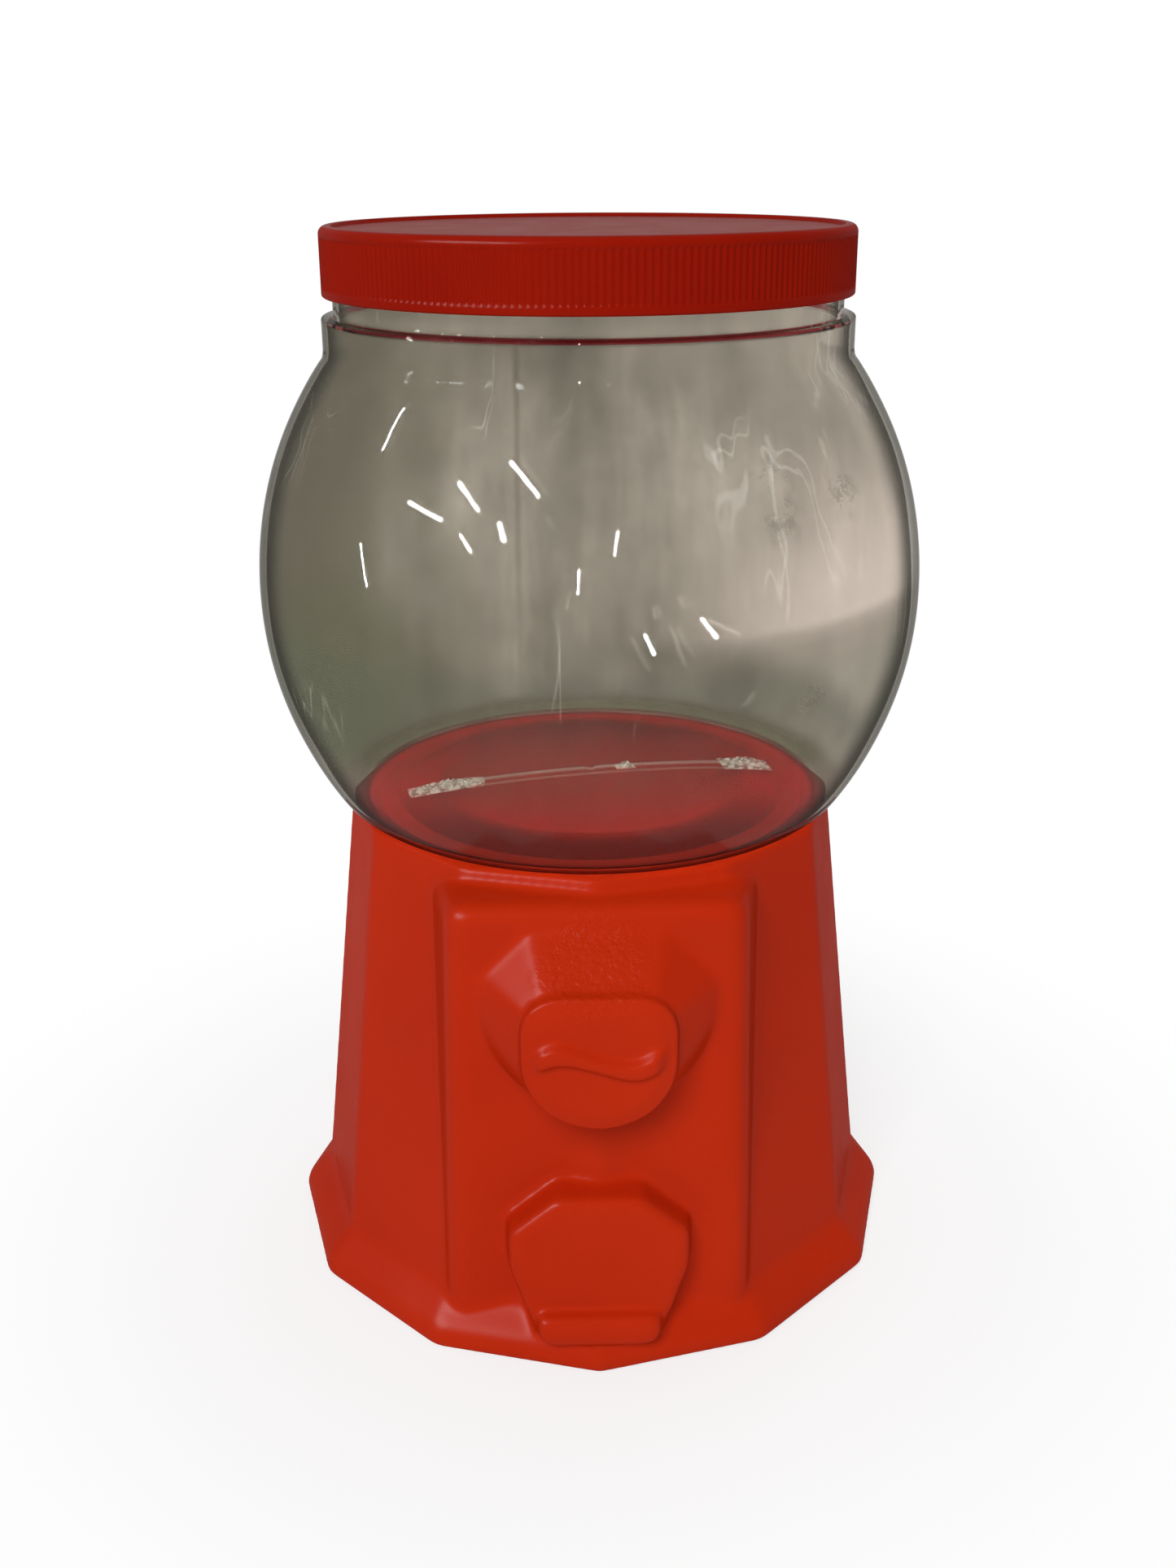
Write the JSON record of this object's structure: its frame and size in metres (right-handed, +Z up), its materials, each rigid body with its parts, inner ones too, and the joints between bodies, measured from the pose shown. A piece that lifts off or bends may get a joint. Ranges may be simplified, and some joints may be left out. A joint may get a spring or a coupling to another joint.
{
  "type": "gumball machine candy jar",
  "caption": "Clear globe candy jar with a ribbed screw lid on a hollow twelve-sided base whose coin plate, knob and chute door are moulded-in relief.",
  "frame": {"origin": "on the floor under the middle of the base, on the axis of the globe and the lid", "axes": "+Z up along the jar's axis; -Y out of the front panel with the knob; +X to the right as seen from behind the front panel, which is the viewer's right when facing the front"},
  "size_m": [0.1574, 0.1606, 0.253],
  "materials": {
    "red_base_plastic": "semi-gloss blow-moulded polyethylene",
    "clear_jar_plastic": "clear, slightly smoky blow-moulded plastic",
    "red_lid_plastic": "satin injection-moulded polypropylene",
    "liner_foam": "matt foam wad"
  },
  "bodies": {
    "jar_and_base": {"base": "red_base_plastic", "jar": "clear_jar_plastic"},
    "liner": {"lid_liner": "liner_foam"},
    "lid": {"lid": "red_lid_plastic"}
  },
  "joints": [
    {"name": "lid_lift", "type": "slide", "parent": "jar_and_base", "child": "liner", "axis": [0, 0, 1], "range_m": [0, 0.0051]},
    {"name": "lid_turn", "type": "hinge", "parent": "liner", "child": "lid", "pos_m": [0, 0, 0.2455], "axis": [0, 0, 1], "range_deg": [0, 360]}
  ],
  "couplings": [
    {"joint": "lid_lift", "follows": "lid_turn", "m_per_rad": 0.00080851}
  ]
}
